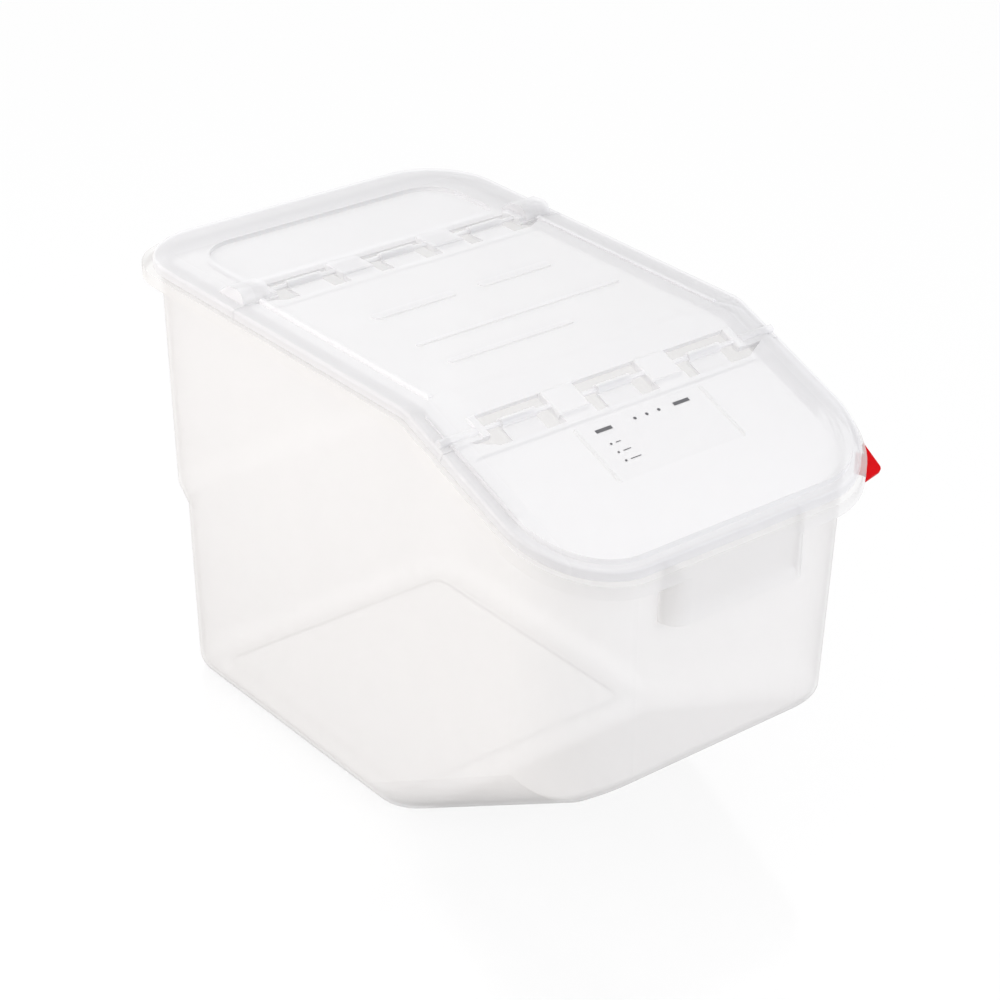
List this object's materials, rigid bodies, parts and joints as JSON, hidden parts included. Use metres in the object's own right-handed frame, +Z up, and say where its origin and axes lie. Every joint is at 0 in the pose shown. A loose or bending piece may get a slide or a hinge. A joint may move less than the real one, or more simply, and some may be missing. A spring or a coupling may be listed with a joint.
{
  "type": "food storage bin",
  "caption": "Large translucent ingredient bin with a slanted front, a lid in hinged panels, a hand grip under the front rim and a colour clip.",
  "frame": {"origin": "on the floor plane, midway between the sides and midway along the rim's depth", "axes": "+Z up, the slanted front faces -Y, +X to the right seen from the front"},
  "size_m": [0.376, 0.633, 0.4405],
  "materials": {
    "frosted_polypropylene": "frosted",
    "frosted_lid_plastic": "frosted",
    "red_plastic": "semi-gloss",
    "label_film": "satin"
  },
  "bodies": {
    "tub": {"bin_body": "frosted_polypropylene"},
    "rear_panel": {"rear_lid": "frosted_lid_plastic"},
    "middle_panel": {"middle_flap": "frosted_lid_plastic"},
    "front_panel": {"front_flap": "frosted_lid_plastic", "label": "label_film"},
    "clip": {"colour_clip": "red_plastic"}
  },
  "joints": [
    {"name": "lid_lift", "type": "slide", "parent": "tub", "child": "rear_panel", "axis": [0, 0, 1], "range_m": [0, 0.15]},
    {"name": "rear_hinge", "type": "hinge", "parent": "rear_panel", "child": "middle_panel", "pos_m": [0, 0.147, 0.43], "axis": [-1, 0, 0], "range_deg": [0, 110]},
    {"name": "front_hinge", "type": "hinge", "parent": "middle_panel", "child": "front_panel", "pos_m": [0, -0.14974, 0.41395], "axis": [-1, 0, 0], "range_deg": [0, 150]},
    {"name": "clip_pull", "type": "slide", "parent": "tub", "child": "clip", "axis": [0.7071, -0.6593, -0.2557], "range_m": [0, 0.03]}
  ]
}
